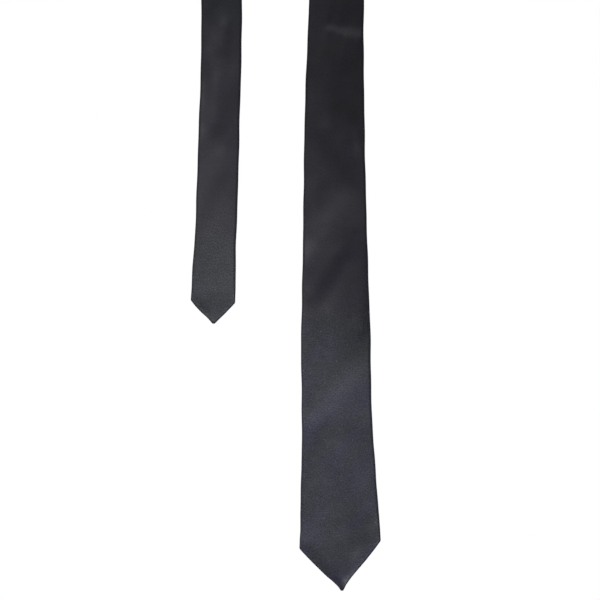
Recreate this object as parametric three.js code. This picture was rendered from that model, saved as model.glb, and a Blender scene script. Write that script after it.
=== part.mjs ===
// A skinny necktie hung open round the neck, with its blade and its tail side by side on the chest.
// Millimetres, +Z up. The wearer faces -Y, and the origin is the middle of the neck at the nape.
// Every place along the tie is a distance from the blade's point, along its middle line.
import * as THREE from 'three';

// The cloth and the way it is folded
const clothThickness = 1.0;
const foldRadius = 1.1; // of the middle of the cloth, where it rolls over an edge
const frontCrown = 0.3; // how far the middle of the front stands proud of its edges
const backSlit = 0.8; // between the two flaps that meet down the middle of the back
const foldShare = 0.42; // the most of a half width that a rolled edge's radius takes near a point

// Lengths along the tie
const tieLength = 1480;
const bladeBelowTail = 167; // how much lower the blade's point hangs
const napeAt = (tieLength + bladeBelowTail) / 2;
const bladeSeamAt = 760;
const tailSeamAt = 1045;
const seamGap = 0.65; // along the tie, which leaves about 0.3 between the two slanting ends
const seamRun = 70; // over which the sections lean over into a seam's slant
const seamSlant = 1; // a seam crosses the flat cloth at 45 degrees

// The neck and the way round it
const neckRadius = 60;
const neckbandWidth = 25;
const bandFlare = THREE.MathUtils.degToRad(28); // the lower edge stands further out than the upper
const legSpread = 36; // from the middle of the body to the middle of each hanging leg
const turnRun = 165; // over which a leg turns from the side of the neck to face the front

// Sections along the tie
const pointSpacing = 3.5;
const hemSpacing = 9;
const legSpacing = 21;
const neckSpacing = 8;
const slopeStep = 0.5; // for reading the direction of the middle line
const foldSteps = 4; // that a rolled edge's half turn is drawn in

const clothColour = '#34353b';

// The blade's outline and hang. corners are the two edges' bends above the point, and outline is
// how far the edges lie from the middle line there: first the under flap's side, then the over
// flap's. Rows are places along the middle line, up to the neck. width is edge to edge, shift is
// sideways to the right, depth is towards the body, and turn faces the front to the right, in degrees.
const blade = {
  side: 1,
  corners: [26.8, 30.7],
  outline: [
    { at: 0, sides: [1.0, 1.1] },
    { at: 3.6, sides: [3.3, 2.75] },
    { at: 11.1, sides: [11.15, 8.9] },
    { at: 18.6, sides: [18.2, 15.7] },
    { at: 26.8, sides: [25.5, 22.35] },
    { at: 30.7, sides: [25.2, 25.2] },
    { at: 37.4, sides: [24.8, 25.05] },
    { at: 50, sides: [24.35, 24.35] },
  ],
  hem: 10.5,
  tack: 76,
  rows: [
    { at: 0, width: 50.2, shift: 3.2, depth: 0.0, turn: 0.0 },
    { at: 28.5, width: 50.2, shift: 2.2, depth: 0.0, turn: 0.0 },
    { at: 44, width: 49.2, shift: 1.9, depth: 0.3, turn: -0.5 },
    { at: 69, width: 46.9, shift: 1.2, depth: 0.6, turn: -1.0 },
    { at: 94, width: 44.6, shift: 0.6, depth: 0.7, turn: -1.5 },
    { at: 119, width: 43.4, shift: -0.1, depth: 0.4, turn: -2.0 },
    { at: 157, width: 43.2, shift: -0.6, depth: -0.6, turn: -3.0 },
    { at: 182, width: 41.8, shift: -0.8, depth: -1.0, turn: -3.0 },
    { at: 219, width: 40.0, shift: -1.0, depth: -0.6, turn: -2.5 },
    { at: 269, width: 38.1, shift: -1.3, depth: 0.8, turn: -1.5 },
    { at: 307, width: 36.8, shift: -1.2, depth: 1.0, turn: -1.0 },
    { at: 344, width: 34.9, shift: -0.7, depth: 0.6, turn: 0.0 },
    { at: 370, width: 34.0, shift: 0.0, depth: 0.0, turn: 0.0 },
    { at: 420, width: 31.8, shift: 0.9, depth: -0.6, turn: 0.0 },
    { at: 500, width: 28.0, shift: 0.5, depth: 0.0, turn: 0.0 },
    { at: 570, width: neckbandWidth, shift: 0.0, depth: 0.0, turn: 0.0 },
  ],
};

// The tail's, from its own point.
const tail = {
  side: -1,
  corners: [12.9, 14.6],
  outline: [
    { at: 0, sides: [0.9, 0.9] },
    { at: 2, sides: [2.75, 2.35] },
    { at: 4.5, sides: [5.6, 4.6] },
    { at: 10.8, sides: [11.85, 10.8] },
    { at: 12.9, sides: [13.7, 12.6] },
    { at: 14.6, sides: [13.75, 14.0] },
    { at: 22, sides: [13.8, 13.6] },
    { at: 33, sides: [13.55, 13.55] },
  ],
  hem: 7,
  tack: 46,
  rows: [
    { at: 0, width: 27.5, shift: -5.0, depth: 0.0, turn: 0.0 },
    { at: 14.5, width: 27.5, shift: -5.3, depth: 0.0, turn: 0.0 },
    { at: 33, width: 27.1, shift: -4.8, depth: 0.3, turn: 0.0 },
    { at: 52, width: 25.7, shift: -3.9, depth: 0.5, turn: -1.0 },
    { at: 80, width: 25.6, shift: -2.8, depth: 0.5, turn: -1.5 },
    { at: 109, width: 25.4, shift: -2.0, depth: 0.0, turn: -1.5 },
    { at: 137, width: 25.1, shift: -1.2, depth: -0.5, turn: -1.0 },
    { at: 165, width: 25.1, shift: -0.3, depth: -0.5, turn: 0.0 },
    { at: 203, width: 25.2, shift: 0.0, depth: 0.0, turn: 0.0 },
    { at: 260, width: neckbandWidth, shift: 0.3, depth: 0.4, turn: 0.0 },
    { at: 360, width: neckbandWidth, shift: 0.0, depth: 0.0, turn: 0.0 },
  ],
};

// Sizes of the way round the neck. In plan it is part of a circle. Seen along the cloth, it
// drops from level at the nape to straight down where it leaves the neck, at an even rate.
const bandRadius = neckRadius + neckbandWidth / 2 * Math.sin(bandFlare) + foldRadius + clothThickness / 2;
const wrapAngle = Math.PI - Math.asin(legSpread / bandRadius);
const neckDrop = bandRadius * wrapAngle;
const neckSide = neckDrop * Math.PI / 2;

function smoothly(share) {
  const x = THREE.MathUtils.clamp(share, 0, 1);
  return x * x * (3 - 2 * x);
}

// One column of a table of rows, at any place, on a smooth curve through the rows.
function readRows(rows, column, at) {
  const last = rows.length - 1;
  if (at <= rows[0].at) {
    return rows[0][column];
  }
  if (at >= rows[last].at) {
    return rows[last][column];
  }
  const i = rows.findIndex((row) => row.at > at) - 1;
  const slope = (k) => {
    const before = rows[Math.max(k - 1, 0)];
    const after = rows[Math.min(k + 1, last)];
    return (after[column] - before[column]) / (after.at - before.at);
  };
  const run = rows[i + 1].at - rows[i].at;
  const t = (at - rows[i].at) / run;
  const rise = rows[i + 1][column] - rows[i][column];
  const startSlope = slope(i) * run;
  const endSlope = slope(i + 1) * run;
  const bend = startSlope - rise;
  const counter = rise - endSlope;
  return rows[i][column] + t * rise + t * (1 - t) * ((1 - t) * bend + t * counter);
}

// The end that a place belongs to, and its distance from that end's point.
function endOf(along) {
  if (along < napeAt) {
    return { end: blade, fromPoint: along };
  }
  return { end: tail, fromPoint: tieLength - along };
}

// A point on the middle line, and the way that the cloth's front faces there, in plan.
function middleAt(along) {
  const { end, fromPoint } = endOf(along);
  const fromNape = Math.abs(along - napeAt);
  const slope = Math.PI / 2 * Math.min(fromNape / neckSide, 1);
  const around = wrapAngle * Math.sin(slope);
  const hang = Math.max(fromNape - neckSide, 0);
  const facing = around + (Math.PI - wrapAngle) * smoothly(hang / turnRun);
  const turn = THREE.MathUtils.degToRad(readRows(end.rows, 'turn', fromPoint));
  const point = new THREE.Vector3(
    end.side * bandRadius * Math.sin(around) + readRows(end.rows, 'shift', fromPoint),
    bandRadius * Math.cos(around) + readRows(end.rows, 'depth', fromPoint),
    -neckDrop * (1 - Math.cos(slope)) - hang,
  );
  return { point, facing: end.side * facing - turn };
}

// The middle line's own directions: along the tie, out of its front, and across it.
function directionsAt(along) {
  const tangent = middleAt(along + slopeStep).point.sub(middleAt(along - slopeStep).point).normalize();
  const { point, facing } = middleAt(along);
  const level = Math.cos(bandFlare);
  const front = new THREE.Vector3(level * Math.sin(facing), level * Math.cos(facing), Math.sin(bandFlare));
  front.addScaledVector(tangent, -front.dot(tangent)).normalize();
  const across = new THREE.Vector3().crossVectors(tangent, front);
  return { point, front, across };
}

// How far one edge lies from the middle line: the outline's straight pieces, and the rows' above it.
// flap is 0 for the under flap's side, where v is below 0, and 1 for the over flap's.
function halfWidthAt(end, fromPoint, flap) {
  const { outline } = end;
  if (fromPoint >= outline[outline.length - 1].at) {
    return readRows(end.rows, 'width', fromPoint) / 2;
  }
  const place = Math.max(fromPoint, 0);
  const next = outline.findIndex((row) => row.at > place);
  const [below, above] = [outline[next - 1], outline[next]];
  const share = (place - below.at) / (above.at - below.at);
  return THREE.MathUtils.lerp(below.sides[flap], above.sides[flap], share);
}

// How far from the middle of the back each flap's edge lies. The flaps meet above the bar tack,
// part below it, and end in the hems that follow the slanting edges of the point.
function flapEdgeAt(end, fromPoint, flap, half, flatHalf) {
  const corner = end.corners[flap];
  const closed = Math.min(backSlit / 2, flatHalf / 2);
  if (fromPoint >= end.tack) {
    return closed;
  }
  if (fromPoint < corner) {
    return Math.max(half - end.hem, closed);
  }
  const open = halfWidthAt(end, corner, flap) - end.hem;
  const share = (end.tack - fromPoint) / (end.tack - corner);
  return closed + (open - closed) * share;
}

// How far the sections lean, as a share of their distance from the middle on the flat cloth.
function slantAt(along) {
  const seamDistance = Math.min(Math.abs(along - bladeSeamAt), Math.abs(along - tailSeamAt));
  return seamSlant * Math.max(1 - seamDistance / seamRun, 0);
}

// One half of the folded cloth's middle, as places across the tie: v is across, n is out of the
// front, tilt is the way that the cloth faces there (0 at the front, half a turn at the back) and
// flat is the distance from the middle if the cloth were opened out.
function halfSection(along, flap, radius) {
  const { end, fromPoint } = endOf(along);
  const half = halfWidthAt(end, fromPoint, flap);
  const flatHalf = half - radius - clothThickness / 2;
  const places = [{ v: flatHalf, n: radius, tilt: 0, flat: flatHalf }];
  for (let k = 1; k <= foldSteps; k += 1) {
    const tilt = Math.PI * k / foldSteps;
    places.push({
      v: flatHalf + radius * Math.sin(tilt),
      n: radius * Math.cos(tilt),
      tilt,
      flat: flatHalf + radius * tilt,
    });
  }
  const edge = flapEdgeAt(end, fromPoint, flap, half, flatHalf);
  places.push({ v: edge, n: -radius, tilt: Math.PI, flat: 2 * flatHalf + radius * Math.PI - edge });
  return places;
}

// The whole section, from the under flap's edge round the front to the over flap's edge.
function foldedSection(along) {
  const { end, fromPoint } = endOf(along);
  const narrower = Math.min(halfWidthAt(end, fromPoint, 0), halfWidthAt(end, fromPoint, 1));
  const radius = Math.min(foldRadius, foldShare * narrower);
  const underSide = halfSection(along, 0, radius).map((place) => ({
    v: -place.v,
    n: place.n,
    tilt: -place.tilt,
    flat: -place.flat,
  }));
  const middle = { v: 0, n: radius + frontCrown, tilt: 0, flat: 0 };
  return [...underSide.reverse(), middle, ...halfSection(along, 1, radius)];
}

// The outer and the inner skin's points of one section, from one flap's edge to the other's.
function skinsAt(along) {
  const slant = slantAt(along);
  const outer = [];
  const inner = [];
  foldedSection(along).forEach(({ v, n, tilt, flat }) => {
    const { point, front, across } = directionsAt(along + slant * flat);
    const outward = front.clone().multiplyScalar(Math.cos(tilt)).addScaledVector(across, Math.sin(tilt));
    const middle = point.addScaledVector(across, v).addScaledVector(front, n);
    outer.push(middle.clone().addScaledVector(outward, clothThickness / 2));
    inner.push(middle.clone().addScaledVector(outward, -clothThickness / 2));
  });
  return { outer, inner };
}

// Evenly spread places from one end of a stretch to just before the other.
function placesBetween(from, to, spacing) {
  const count = Math.max(Math.round((to - from) / spacing), 1);
  return Array.from({ length: count }, (_, k) => from + (to - from) * k / count);
}

// Section places over the whole tie: close at the points and round the neck, wide on the legs.
function sectionPlaces(from, to) {
  const neckStart = napeAt - neckSide;
  const neckEnd = napeAt + neckSide;
  const tailTack = tieLength - tail.tack;
  const [bladeUnder, bladeOver] = blade.corners;
  const [tailUnder, tailOver] = tail.corners.map((corner) => tieLength - corner);
  const whole = [
    ...placesBetween(0, bladeUnder, pointSpacing),
    ...placesBetween(bladeUnder, bladeOver, pointSpacing),
    ...placesBetween(bladeOver, blade.tack, hemSpacing),
    ...placesBetween(blade.tack, neckStart, legSpacing),
    ...placesBetween(neckStart, neckEnd, neckSpacing),
    ...placesBetween(neckEnd, tailTack, legSpacing),
    ...placesBetween(tailTack, tailOver, hemSpacing),
    ...placesBetween(tailOver, tailUnder, pointSpacing),
    ...placesBetween(tailUnder, tieLength, pointSpacing),
  ];
  const clear = neckSpacing / 4;
  return [from, ...whole.filter((along) => along > from + clear && along < to - clear), to];
}

// One panel of the tie as a closed shell of folded cloth.
function panelGeometry(from, to) {
  const sections = sectionPlaces(from, to).map(skinsAt);
  const columns = sections[0].outer.length;
  const positions = sections.flatMap(({ outer, inner }) => [...outer, ...inner].flatMap((p) => p.toArray()));
  const outerIndex = (row, column) => row * 2 * columns + column;
  const innerIndex = (row, column) => outerIndex(row, column) + columns;
  const indices = [];
  const quad = (a, b, c, d) => indices.push(a, b, c, a, c, d);
  const lastRow = sections.length - 1;
  const lastColumn = columns - 1;
  for (let row = 0; row < lastRow; row += 1) {
    for (let k = 0; k < lastColumn; k += 1) {
      quad(outerIndex(row, k), outerIndex(row, k + 1), outerIndex(row + 1, k + 1), outerIndex(row + 1, k));
      quad(innerIndex(row, k), innerIndex(row + 1, k), innerIndex(row + 1, k + 1), innerIndex(row, k + 1));
    }
    quad(outerIndex(row, 0), outerIndex(row + 1, 0), innerIndex(row + 1, 0), innerIndex(row, 0));
    quad(
      outerIndex(row, lastColumn),
      innerIndex(row, lastColumn),
      innerIndex(row + 1, lastColumn),
      outerIndex(row + 1, lastColumn),
    );
  }
  for (let k = 0; k < lastColumn; k += 1) {
    quad(outerIndex(0, k), innerIndex(0, k), innerIndex(0, k + 1), outerIndex(0, k + 1));
    quad(
      outerIndex(lastRow, k),
      outerIndex(lastRow, k + 1),
      innerIndex(lastRow, k + 1),
      innerIndex(lastRow, k),
    );
  }
  const geometry = new THREE.BufferGeometry();
  geometry.setAttribute('position', new THREE.Float32BufferAttribute(positions, 3));
  geometry.setIndex(indices);
  geometry.computeVertexNormals();
  return geometry;
}

function panel(name, from, to) {
  const cloth = new THREE.MeshStandardMaterial({ color: clothColour, roughness: 0.55, metalness: 0 });
  const mesh = new THREE.Mesh(panelGeometry(from, to), cloth);
  mesh.name = name;
  return mesh;
}

const tie = new THREE.Group();
tie.add(
  panel('blade', 0, bladeSeamAt - seamGap / 2),
  panel('neckband', bladeSeamAt + seamGap / 2, tailSeamAt - seamGap / 2),
  panel('tail', tailSeamAt + seamGap / 2, tieLength),
);

export default tie;
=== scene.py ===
"""Dresses a skinny necktie that hangs open round the neck: folded bias satin, its seams and its stitches.

The tie's sizes are in millimetres until a mesh is made, and the studio's are in metres. A place along
the tie is its distance from the blade's point, on the middle line. A place across is measured from that
line, v on the folded tie and flat on the cloth opened out. The way round the neck and the rows of both
ends are the CAD part's own, and the outlines of both points follow its outlines, with a few places more.
"""

import logging
import math
from dataclasses import dataclass
from enum import Enum, IntEnum
from functools import partial

import bpy
import numpy as np
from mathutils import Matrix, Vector

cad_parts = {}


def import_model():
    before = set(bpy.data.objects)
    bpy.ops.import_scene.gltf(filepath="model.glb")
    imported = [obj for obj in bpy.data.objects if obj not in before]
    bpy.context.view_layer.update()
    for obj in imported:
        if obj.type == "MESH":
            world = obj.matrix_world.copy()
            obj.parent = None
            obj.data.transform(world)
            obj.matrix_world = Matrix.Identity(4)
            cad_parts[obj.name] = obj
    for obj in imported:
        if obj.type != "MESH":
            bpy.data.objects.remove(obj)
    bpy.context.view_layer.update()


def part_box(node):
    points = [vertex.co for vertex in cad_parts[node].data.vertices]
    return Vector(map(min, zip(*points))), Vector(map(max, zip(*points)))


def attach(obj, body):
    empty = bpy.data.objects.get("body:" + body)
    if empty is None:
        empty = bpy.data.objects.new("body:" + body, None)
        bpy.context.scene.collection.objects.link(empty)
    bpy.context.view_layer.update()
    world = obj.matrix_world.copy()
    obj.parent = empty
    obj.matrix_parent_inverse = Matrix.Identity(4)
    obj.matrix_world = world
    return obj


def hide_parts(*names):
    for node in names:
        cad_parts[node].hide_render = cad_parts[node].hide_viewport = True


Array = np.ndarray
Material = bpy.types.Material
Node = bpy.types.Node
Socket = bpy.types.NodeSocket
Tree = bpy.types.NodeTree
Line = tuple[Array, Array]  # a sewn line's points, and the directions out of the cloth there

MM = 0.001
CLOTH_MAP = "cloth_place"
OUTWARD = "outward"
WHITE = (1.0, 1.0, 1.0, 1.0)

log = logging.getLogger("skinny_tie")


class Flap(Enum):
    """The two folded sides that meet on the back: one is sewn down over the other."""

    UNDER = -1
    OVER = 1

    @property
    def which(self) -> int:
        """The flap's place in a pair of sizes."""
        return 0 if self is Flap.UNDER else 1


class Skin(IntEnum):
    """The cloth's two faces, as material slots of a panel."""

    FACE = 0
    WRONG_SIDE = 1


def smoothly(share: Array) -> Array:
    """Eases a share from 0 to 1, level at both ends."""
    x = np.clip(share, 0.0, 1.0)
    return x * x * (3.0 - 2.0 * x)


def side_by_side(*columns: Array) -> Array:
    """Joins groups of columns into one section."""
    return np.concatenate(columns, axis=1)


def linear_rgba(hex_colour: str) -> tuple[float, float, float, float]:
    """Turns an sRGB hex colour into linear RGBA.

    Args:
        hex_colour: Six hex digits after a hash sign.

    Returns:
        The linear colour, opaque.
    """
    shares = [int(hex_colour[i : i + 2], 16) / 255 for i in (1, 3, 5)]
    line = [c / 12.92 if c <= 0.04045 else ((c + 0.055) / 1.055) ** 2.4 for c in shares]
    return (*line, 1.0)


def add_node(tree: Tree, kind: str, inputs: dict | None = None, **settings: str | bool) -> Node:
    """Adds a node, sets its properties, and fills or links its inputs.

    Args:
        tree: The tree that gets the node.
        kind: The node's Blender type name.
        inputs: Input name or index to a plain value, an output, or a node that gives its first output.
        **settings: The node's own properties.

    Returns:
        The new node.
    """
    node = tree.nodes.new(kind)
    for name, value in settings.items():
        setattr(node, name, value)
    for key, value in (inputs or {}).items():
        source = value.outputs[0] if isinstance(value, Node) else value
        if isinstance(source, Socket):
            tree.links.new(source, node.inputs[key])
        else:
            node.inputs[key].default_value = source
    return node


def new_material(name: str) -> tuple[Material, Tree]:
    """Makes a material whose tree is still empty.

    Args:
        name: The material's name.

    Returns:
        The material and its tree.
    """
    material = bpy.data.materials.new(name)
    material.use_nodes = True
    material.node_tree.nodes.clear()
    return material, material.node_tree


def new_object(name: str, data: bpy.types.ID) -> bpy.types.Object:
    """Puts a new object in the scene, at the origin.

    Args:
        name: The object's name.
        data: Its mesh, lamp or camera.

    Returns:
        The object.
    """
    made = bpy.data.objects.new(name, data)
    bpy.context.scene.collection.objects.link(made)
    return made


def keep_vectors(mesh: bpy.types.Mesh, name: str, vectors: Array) -> None:
    """Keeps one vector for each point of a mesh, as a named attribute."""
    layer = mesh.attributes.new(name, "FLOAT_VECTOR", "POINT")
    layer.data.foreach_set("vector", vectors.astype(np.float32).ravel())


@dataclass(frozen=True)
class Row:
    """One place on an end: width edge to edge, shift sideways, depth towards the body, turn in degrees."""

    at: float
    width: float
    shift: float
    depth: float
    turn: float


@dataclass(frozen=True)
class Outline:
    """How far a point's two edges lie from the middle line at one distance from the point."""

    at: float
    under: float
    over: float


@dataclass(frozen=True)
class Swell:
    """How far a whole end stands out of its plain hang, and how many degrees it turns there."""

    at: float
    lift: float
    turn: float


def smooth_curve(rows: tuple, column: str, at: Array) -> Array:
    """Reads one column of a table of rows on a smooth curve through them.

    Args:
        rows: Rows with a field "at", in rising order.
        column: The name of the field to read.
        at: Distances from the point.

    Returns:
        The column's value at each distance.
    """
    places = np.array([row.at for row in rows])
    values = np.array([getattr(row, column) for row in rows])
    before = np.maximum(np.arange(len(places)) - 1, 0)
    after = np.minimum(np.arange(len(places)) + 1, len(places) - 1)
    slopes = (values[after] - values[before]) / (places[after] - places[before])
    held = np.clip(at, places[0], places[-1])
    i = np.clip(np.searchsorted(places, held, side="right") - 1, 0, len(places) - 2)
    run = places[i + 1] - places[i]
    rise = values[i + 1] - values[i]
    t = (held - places[i]) / run
    bend = slopes[i] * run - rise
    counter = rise - slopes[i + 1] * run
    return values[i] + t * rise + t * (1 - t) * ((1 - t) * bend + t * counter)


@dataclass(frozen=True)
class Fold:
    """A soft fold in the front, between two places on an end, given across and from the point.

    Drawn with v to the right and the distance upwards, the front rises to the left of the line from start
    to stop, or falls where rise is below 0.
    """

    start: tuple[float, float]
    stop: tuple[float, float]
    reach: float
    rise: float

    def height(self, v: Array, at: Array) -> Array:
        """How far the fold lifts the front.

        Args:
            v: Places across.
            at: Distances from the point.

        Returns:
            The lift at each place.
        """
        run_v, run_at = self.stop[0] - self.start[0], self.stop[1] - self.start[1]
        length = math.hypot(run_v, run_at)
        ahead_v, ahead_at = run_v / length, run_at / length
        off = (at - self.start[1]) * ahead_v - (v - self.start[0]) * ahead_at
        on = (v - self.start[0]) * ahead_v + (at - self.start[1]) * ahead_at
        beyond = np.maximum(np.maximum(-on, on - length), 0.0)
        return self.rise * self.profile(off) * np.exp(-((beyond / self.reach) ** 2))

    def profile(self, off: Array) -> Array:
        """The fold's shape square to its line: soft, and level again soon."""
        return off * np.exp(-((off / self.reach) ** 2))


@dataclass(frozen=True)
class Crease(Fold):
    """A fold that was pressed in for a while: sharp at its line, and slow to level out."""

    def profile(self, off: Array) -> Array:
        """The crease's shape square to its line."""
        return off / (1 + (off / self.reach) ** 2)


@dataclass(frozen=True)
class HangingEnd:
    """One end of the tie, from its point up to the neck.

    Pairs are for the under and the over flap's side, apart from the two runs of the waver.
    """

    side: int
    corner: tuple[float, float]
    widest_at: float
    hem: float
    tack: float
    tack_reach: float
    sink: tuple[float, float]
    nose_sink: tuple[float, float]
    sink_reach: float
    flare: tuple[float, float]
    nose_flare: tuple[float, float]
    outline: tuple[Outline, ...]
    rows: tuple[Row, ...]
    folds: tuple[Fold, ...]
    swells: tuple[Swell, ...]
    # how much wider than its rows the end is above its point, on each side
    trim: float = 0.19
    # how softly the point's corners are rounded
    blur: float = 0.32
    blur_spread: int = 4
    blur_step: float = 0.1
    # how far the edges waver above the point, in a short and a long wave that fade in
    waver: float = 0.07
    waver_runs: tuple[float, float] = (4.1, 6.7)
    waver_fade: float = 20.0

    def read(self, column: str, at: Array) -> Array:
        """Reads one column of the rows at each distance from the point."""
        return smooth_curve(self.rows, column, at)

    def swell(self, v: Array, at: Array) -> Array:
        """How far the whole end stands out, with its gentle turns, at places across and from the point."""
        turn = np.radians(smooth_curve(self.swells, "turn", at))
        return smooth_curve(self.swells, "lift", at) + v * turn

    def folded(self, v: Array, at: Array) -> Array:
        """How far all the folds together lift the front, at places across and from the point."""
        return sum(fold.height(v, at) for fold in self.folds)

    def half(self, at: Array, flap: Flap) -> Array:
        """The distance from the middle line to one edge, with the point's corners softly rounded.

        Args:
            at: Distances from the point.
            flap: Whose side of the tie.

        Returns:
            The half width on that side.
        """
        reach = int(self.blur_spread * self.blur / self.blur_step)
        grid = np.arange(0.0, self.outline[-1].at + self.blur_step / 2, self.blur_step)
        edge = [(row.under, row.over)[flap.which] for row in self.outline]
        line = np.interp(grid, [row.at for row in self.outline], edge)
        weights = np.exp(-((np.arange(-reach, reach + 1) * self.blur_step / self.blur) ** 2) / 2)
        soft = np.convolve(np.pad(line, reach, mode="edge"), weights / weights.sum(), "valid")
        short, long = self.waver_runs
        uneven = self.waver * (np.sin(at / short + flap.value) + np.sin(at / long + 2.0 * flap.value))
        body = self.read("width", at) / 2 + self.trim + uneven * smoothly((at - grid[-1]) / self.waver_fade)
        return np.where(at < grid[-1], np.interp(at, grid, soft), body)


BLADE = HangingEnd(
    side=1, corner=(26.8, 30.7), widest_at=26.8, hem=10.5, tack=76.0, tack_reach=4.6,
    sink=(0.6, 0.0), nose_sink=(2.2, 0.0), sink_reach=9.0, flare=(0.15, 0.6), nose_flare=(0.15, 1.3),
    outline=(
        Outline(0, 0.6, 0.7),
        Outline(0.4, 0.95, 1.05),
        Outline(1.1, 1.35, 1.45),
        Outline(2.3, 2.15, 2.05),
        Outline(3.6, 3.3, 2.75),
        Outline(6.1, 5.8, 4.65),
        Outline(8.6, 8.65, 6.65),
        Outline(11.1, 11.15, 8.9),
        Outline(18.6, 18.25, 15.75),
        Outline(23.6, 22.85, 19.9),
        Outline(26.8, 25.6, 22.45),
        Outline(28.6, 25.5, 23.8),
        Outline(30.7, 25.35, 25.35),
        Outline(33, 25.25, 25.3),
        Outline(37.4, 24.85, 25.2),
        Outline(50, 24.6, 24.55),
    ),
    rows=(
        Row(0, 50.2, 3.2, 0, 0),
        Row(28.5, 50.2, 2.2, 0, 0),
        Row(44, 49.2, 1.9, 0.3, -0.5),
        Row(69, 46.9, 1.2, 0.6, -1),
        Row(94, 44.6, 0.6, 0.7, -1.5),
        Row(119, 43.4, -0.1, 0.4, -2),
        Row(157, 43.2, -0.6, -0.6, -3),
        Row(182, 41.8, -0.8, -1, -3),
        Row(219, 40, -1, -0.6, -2.5),
        Row(269, 38.1, -1.3, 0.8, -1.5),
        Row(307, 36.8, -1.2, 1, -1),
        Row(344, 34.9, -0.7, 0.6, 0),
        Row(370, 34, 0, 0, 0),
        Row(420, 31.8, 0.9, -0.6, 0),
        Row(500, 28, 0.5, 0, 0),
        Row(570, 25, 0, 0, 0),
    ),
    folds=(
        # the short pale crease near the photo's top edge
        Crease((14.5, 349), (8, 350), 4.5, 0.26),
        Crease((2.5, 351), (-3, 352.5), 3, 0.2),
        # long shallow hollows below it, beside both edges and in the middle
        Fold((0, 320), (0, 291), 8, -0.1),
        Fold((-19, 326), (-19, 301), 8, 0.12),
        Fold((14.5, 325), (18, 252), 6, 0.08),
        Fold((10, 300), (17, 285), 8, 0.08),
        Fold((17, 290), (17, 281), 7, 0.12),
        Fold((-9, 283), (15, 250), 9, 0.08),
        # the pale band that slants up to the right, and the dark fold under it
        Fold((-10, 228), (-10, 250), 5, 0.07),
        Fold((5, 246), (-16, 217), 10, 0.06),
        Fold((-15, 230), (-20, 206), 8, 0.08),
        Fold((3, 207), (-11, 184), 7, -0.14),
        Fold((22, 217), (19, 163), 5.5, -0.18),
        Fold((21, 223), (15, 222), 8.5, -0.07),
        Fold((-15, 185), (-15, 156), 12, -0.06),
        # the wide lower part
        Fold((19, 144), (-9, 113), 11, 0.04),
        Fold((-21, 86), (-21, 110), 7, 0.08),
        Fold((-12, 101), (-17, 77), 7.5, -0.08),
        Fold((7, 87), (24, 53), 10.5, -0.08),
        Fold((19, 76), (16, 68), 5, 0.05),
        Fold((-11, 48), (-17, 39), 7.5, 0.03),
        # the point, pulled a little by its hem
        Fold((14, 27), (13, 38), 7, -0.16),
        Fold((21.5, 39), (20, 30), 6, 0.2),
        Fold((-16, 14), (-13, 9), 7, 0.08),
        Fold((0, 0), (13, 24), 7.5, -0.05),
        Fold((-0.5, -5), (-0.5, 4), 3, -0.25),
    ),
    swells=(
        Swell(0, 0.2, 8),
        Swell(50, 0.3, 4.5),
        Swell(100, 0.8, 0),
        Swell(120, -0.1, -2.5),
        Swell(145, -1.8, -5.5),
        Swell(170, -2.6, -6),
        Swell(185, -2.4, -4.5),
        Swell(205, -1.1, -4),
        Swell(220, -0.3, -1),
        Swell(260, 0.7, -1),
        Swell(280, 1.3, -1),
        Swell(300, 1.3, -1),
        Swell(320, 1.7, 0.5),
        Swell(340, 1.9, -1.5),
        Swell(365, 0.4, -4.5),
        Swell(390, -1.3, -5.5),
        Swell(440, -0.3, 0),
        Swell(480, 0, 0),
    ),
)

TAIL = HangingEnd(
    side=-1, corner=(12.9, 14.6), widest_at=14.6, hem=7.0, tack=46.0, tack_reach=3.6,
    sink=(0.0, 0.3), nose_sink=(0.0, 0.45), sink_reach=6.5, flare=(0.42, 0.3), nose_flare=(0.05, 0.35),
    outline=(
        Outline(0, 0.5, 0.5),
        Outline(0.3, 0.95, 0.9),
        Outline(0.8, 1.6, 1.5),
        Outline(2, 2.75, 2.35),
        Outline(4.5, 5.6, 4.6),
        Outline(7, 8.25, 7.35),
        Outline(10.8, 11.95, 10.9),
        Outline(12.9, 13.8, 12.7),
        Outline(14.6, 13.88, 14.15),
        Outline(17, 13.91, 14),
        Outline(22, 14, 13.75),
        Outline(33, 13.74, 13.74),
    ),
    rows=(
        Row(0, 27.5, -5, 0, 0),
        Row(14.5, 27.5, -5.3, 0, 0),
        Row(33, 27.1, -4.8, 0.3, 0),
        Row(52, 25.7, -3.9, 0.5, -1),
        Row(80, 25.6, -2.8, 0.5, -1.5),
        Row(109, 25.4, -2, 0, -1.5),
        Row(137, 25.1, -1.2, -0.5, -1),
        Row(165, 25.1, -0.3, -0.5, 0),
        Row(203, 25.2, 0, 0, 0),
        Row(260, 25, 0.3, 0.4, 0),
        Row(360, 25, 0, 0, 0),
    ),
    folds=(
        # the upper part, with a soft ridge down its middle
        Fold((9, 195), (5, 200), 6, -0.05),
        Fold((3.5, 175), (2, 185), 5.5, 0.13),
        Fold((-4, 163), (-5, 187), 4, -0.04),
        Fold((6, 157), (10, 173), 7, 0.09),
        Fold((8, 146), (9.5, 158), 7, 0.06),
        # the folds that cross it half way down
        Fold((7, 126), (7.5, 149), 7, 0.13),
        Fold((6, 112), (-10, 146), 8.5, -0.04),
        Fold((-14, 90), (-6, 106), 7.5, -0.08),
        Fold((10, 62), (-1, 89), 8, -0.05),
        Fold((8, 13), (2, 14), 7, -0.03),
    ),
    swells=(
        Swell(0, -0.6, -6.5),
        Swell(30, 0.3, -3),
        Swell(60, 0.6, 2),
        Swell(90, 0.3, 3),
        Swell(125, -0.6, 3),
        Swell(160, -1, -0.5),
        Swell(190, 0, -0.5),
        Swell(220, 1.3, 2),
        Swell(260, 0.6, 0.5),
        Swell(300, 0, 0),
    ),
)

ENDS = (BLADE, TAIL)


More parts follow.
